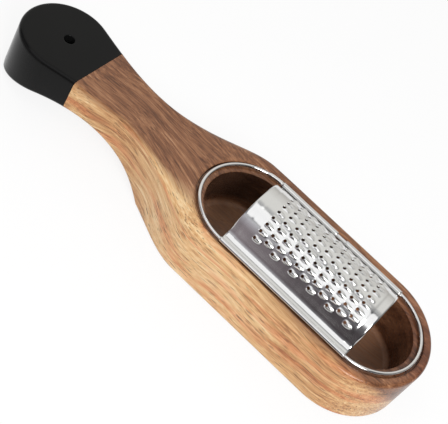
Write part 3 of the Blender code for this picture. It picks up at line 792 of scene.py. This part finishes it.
SHEET_THICKNESS = 0.00035
SHEET_LOW_X = LOOP_LOW_X
SHEET_HIGH_X = LOOP_HIGH_X + 0.0022
CROWN_RADIUS = 0.0230
CROWN_TURN = math.radians(64.0)
FLANK_LENGTH = 0.00263
FILLET_RADIUS = 0.0065
HEM_GAP = 0.0003
HEM_RADIUS = WIRE_RADIUS + HEM_GAP + SHEET_THICKNESS / 2.0
HEM_TURN = math.radians(250.0)
NOTCH = (-0.0020, 0.0035)
PANEL_RAISE = 0.0003
PANEL_FADE = 0.0090
STEP_LENGTH = 0.0021
END_STRIP = 0.0040
PITCH_ALONG = 0.00635
PITCH_ACROSS = 0.00464
COLUMNS = 11
LONG_COLUMN = 11
HOLE_SIZE = 0.00090
FIELD_X = (SHEET_LOW_X + SHEET_HIGH_X) / 2.0 + 0.0005
TOOTH_AHEAD = 0.0047
TOOTH_BEHIND = 0.0013
TOOTH_SIDE = 0.0015
LIP_HEIGHT = 0.00066
BACK_HEIGHT = 0.00004
RIM_POWER = 1.9
SLOPE_POWER = 1.25
TOOTH_SHARES = (0.0, 0.15, 0.32, 0.50, 0.66, 0.80, 0.92, 1.0)
BORDER_SHARE = 0.55
BRICK_AHEAD = 0.00165
SIDE_STEPS = 6
STEP_STEPS = 5
END_STRIP_STEPS = 4
FILLET_RINGS = 14
HEM_STEPS = 24
FLAT_Z = WIRE_Z - HEM_RADIUS
CROWN_LENGTH = CROWN_RADIUS * CROWN_TURN
FILLET_LENGTH = FILLET_RADIUS * CROWN_TURN
FILLET_Y = (CROWN_RADIUS + FILLET_RADIUS) * math.sin(CROWN_TURN) + FLANK_LENGTH * math.cos(CROWN_TURN)
FILLET_Z = FLAT_Z + FILLET_RADIUS
CROWN_Z = (FILLET_Z - (CROWN_RADIUS + FILLET_RADIUS) * math.cos(CROWN_TURN)
           + FLANK_LENGTH * math.sin(CROWN_TURN))
FOOT_LENGTH = CROWN_LENGTH + FLANK_LENGTH + FILLET_LENGTH
FLAT_LENGTH = LOOP_RADIUS - FILLET_Y


def bent(x, across, lift):
    """Carry the flat blank to the bent sheet.

    From the middle outwards it is an arc of the crown's radius, a straight flank, a fillet that
    turns back by the arc's angle, a flat, and a roll round the wire. The lift is measured off the
    sheet.
    """
    side = np.sign(across)
    run = np.abs(across)
    crown = np.minimum(run / CROWN_RADIUS, CROWN_TURN)
    flank = np.maximum(run - CROWN_LENGTH, 0.0)
    flat = run - FOOT_LENGTH
    foot = -flat / FILLET_RADIUS
    roll = (flat - FLAT_LENGTH) / HEM_RADIUS
    stretches = [flank <= FLANK_LENGTH, flat <= 0.0, flat <= FLAT_LENGTH]
    y = np.select(stretches, [(CROWN_RADIUS + lift) * np.sin(crown) + flank * math.cos(CROWN_TURN),
                              FILLET_Y - (FILLET_RADIUS - lift) * np.sin(foot), FILLET_Y + flat],
                  LOOP_RADIUS + (HEM_RADIUS - lift) * np.sin(roll))
    crown_z = CROWN_Z + (CROWN_RADIUS + lift) * np.cos(crown) - flank * math.sin(CROWN_TURN)
    z = np.select(stretches, [crown_z, FILLET_Z - (FILLET_RADIUS - lift) * np.cos(foot),
                              FLAT_Z + lift],
                  WIRE_Z - (HEM_RADIUS - lift) * np.cos(roll))
    return np.stack([x + 0 * run, side * y, z], axis=-1)


def panel_lift(x, across):
    """Height of the toothed panel over the end strips, fading out down the fillet."""
    from_end = np.minimum(x - SHEET_LOW_X, SHEET_HIGH_X - x)
    down = (FOOT_LENGTH - np.abs(across)) / PANEL_FADE
    return PANEL_RAISE * ease((from_end - END_STRIP) / STEP_LENGTH) * ease(down)


def toothed_bricks():
    """Bricks of sheet, one to a tooth, as rings from the hole's rim out to a rectangle.

    The tooth's foot is an egg, a half ellipse ahead of the hole and a shorter one behind it. From
    rim to foot the height is the rim's height times a power of one less the square of the share
    passed, and the rim stands highest ahead, by a power of the cosine of the way round.
    """
    corner = np.linspace(-1.0, 1.0, SIDE_STEPS + 1)[:-1]
    one = 0 * corner + 1
    border = np.r_[np.c_[one, corner], np.c_[-corner, one], np.c_[-one, -corner], np.c_[corner, -one]]
    border = border * (PITCH_ALONG / 2.0, PITCH_ACROSS / 2.0) + (BRICK_AHEAD, 0.0)
    angle = np.arctan2(border[:, 1], border[:, 0])
    way = np.c_[np.cos(angle), np.sin(angle)]
    foot = way * np.c_[np.where(way[:, 0] > 0, TOOTH_AHEAD, TOOTH_BEHIND),
                       np.full(len(way), TOOTH_SIDE)]
    shares = np.array(TOOTH_SHARES)[:, None, None]
    tooth = HOLE_SIZE * way * (1 - shares) + foot * shares
    outside = foot[None] * (1 - BORDER_SHARE) + border[None] * BORDER_SHARE
    brick = np.concatenate([tooth, outside, border[None]])
    rim = BACK_HEIGHT + (LIP_HEIGHT - BACK_HEIGHT) * ((1 + way[:, 0]) / 2.0) ** RIM_POWER
    height = np.concatenate([rim * (1 - shares[..., 0] ** 2) ** SLOPE_POWER,
                             np.zeros((2, len(way)))])
    column = np.arange(COLUMNS)
    x = FIELD_X + (column - (COLUMNS - 1) / 2.0) * PITCH_ALONG
    row = np.arange(LONG_COLUMN)
    across = (row[None] - (LONG_COLUMN - 1 - column[:, None] % 2) / 2.0) * PITCH_ACROSS
    kept = (row[None] < LONG_COLUMN - column[:, None] % 2).ravel()
    centre = np.stack([x[:, None] + 0 * across, across], -1).reshape(-1, 2)[kept]
    place = centre[:, None, None] + brick[None]
    lift = panel_lift(place[..., 0], place[..., 1]) + height[None]
    return bent(place[..., 0], place[..., 1], lift), x + BRICK_AHEAD


def grater_sheet():
    """Bricks, half bricks and plain strips of the blank, bent, welded and given their gauge."""
    bricks, columns_x = toothed_bricks()
    half_x = PITCH_ALONG / 2.0
    half_across = PITCH_ACROSS / 2.0
    field = LONG_COLUMN * half_across
    grids = [(brick, True, False) for brick in bricks]

    def plain(lines_x, lines_across):
        x, across = np.meshgrid(lines_x, lines_across)
        grids.append((bent(x, across, panel_lift(x, across)), False, False))

    for x in columns_x[1::2]:
        for side in (-1.0, 1.0):
            plain(x + half_x * np.linspace(-1.0, 1.0, SIDE_STEPS + 1),
                  side * np.linspace(field - half_across, field, SIDE_STEPS // 2 + 1))
    low = columns_x[0] - half_x
    high = columns_x[-1] + half_x
    steps = np.linspace(0.0, STEP_LENGTH, STEP_STEPS + 1)
    low_lines = np.r_[np.linspace(SHEET_LOW_X, SHEET_LOW_X + END_STRIP, END_STRIP_STEPS + 1)[:-1],
                      SHEET_LOW_X + END_STRIP + steps, low]
    high_lines = np.r_[high, SHEET_HIGH_X - END_STRIP - steps[::-1],
                       np.linspace(SHEET_HIGH_X - END_STRIP, SHEET_HIGH_X, END_STRIP_STEPS + 1)[1:]]
    field_x = np.linspace(low, high, SIDE_STEPS * COLUMNS + 1)
    across = np.linspace(-field, field, SIDE_STEPS * LONG_COLUMN + 1)
    plain(low_lines, across)
    plain(high_lines, across)
    all_x = np.r_[low_lines[:-1], field_x, high_lines[1:]]
    foot = np.r_[field, CROWN_LENGTH, CROWN_LENGTH + FLANK_LENGTH / 2.0,
                 FOOT_LENGTH - np.linspace(FILLET_LENGTH, 0.0, FILLET_RINGS + 1),
                 FOOT_LENGTH + FLAT_LENGTH]
    hem = FOOT_LENGTH + FLAT_LENGTH + np.linspace(0.0, HEM_RADIUS * HEM_TURN, HEM_STEPS + 1)
    loop_x = (LOOP_LOW_X + LOOP_HIGH_X) / 2.0
    for side in (-1.0, 1.0):
        plain(all_x, side * foot)
    plain(all_x, -hem)
    plain(all_x[all_x < loop_x + NOTCH[0]], hem)
    plain(all_x[all_x > loop_x + NOTCH[1]], hem)
    sheet = skin("toothed_sheet", grids, crisp=38.0)
    gauge = sheet.modifiers.new("gauge", "SOLIDIFY")
    gauge.thickness = SHEET_THICKNESS
    gauge.offset = 0.0
    gauge.use_even_offset = True
    return sheet


sheet = grater_sheet()
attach(sheet, "grater_insert")
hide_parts("grater_sheet")

SHEET_COLOUR = (0.72, 0.72, 0.71)
SHEET_ROUGHNESS = 0.13
SHEET_LINES = (400.0, 30.0, 30.0)
sheet.data.materials.append(
    bright_steel("sheet_steel_bright", SHEET_COLOUR, SHEET_ROUGHNESS, SHEET_LINES))
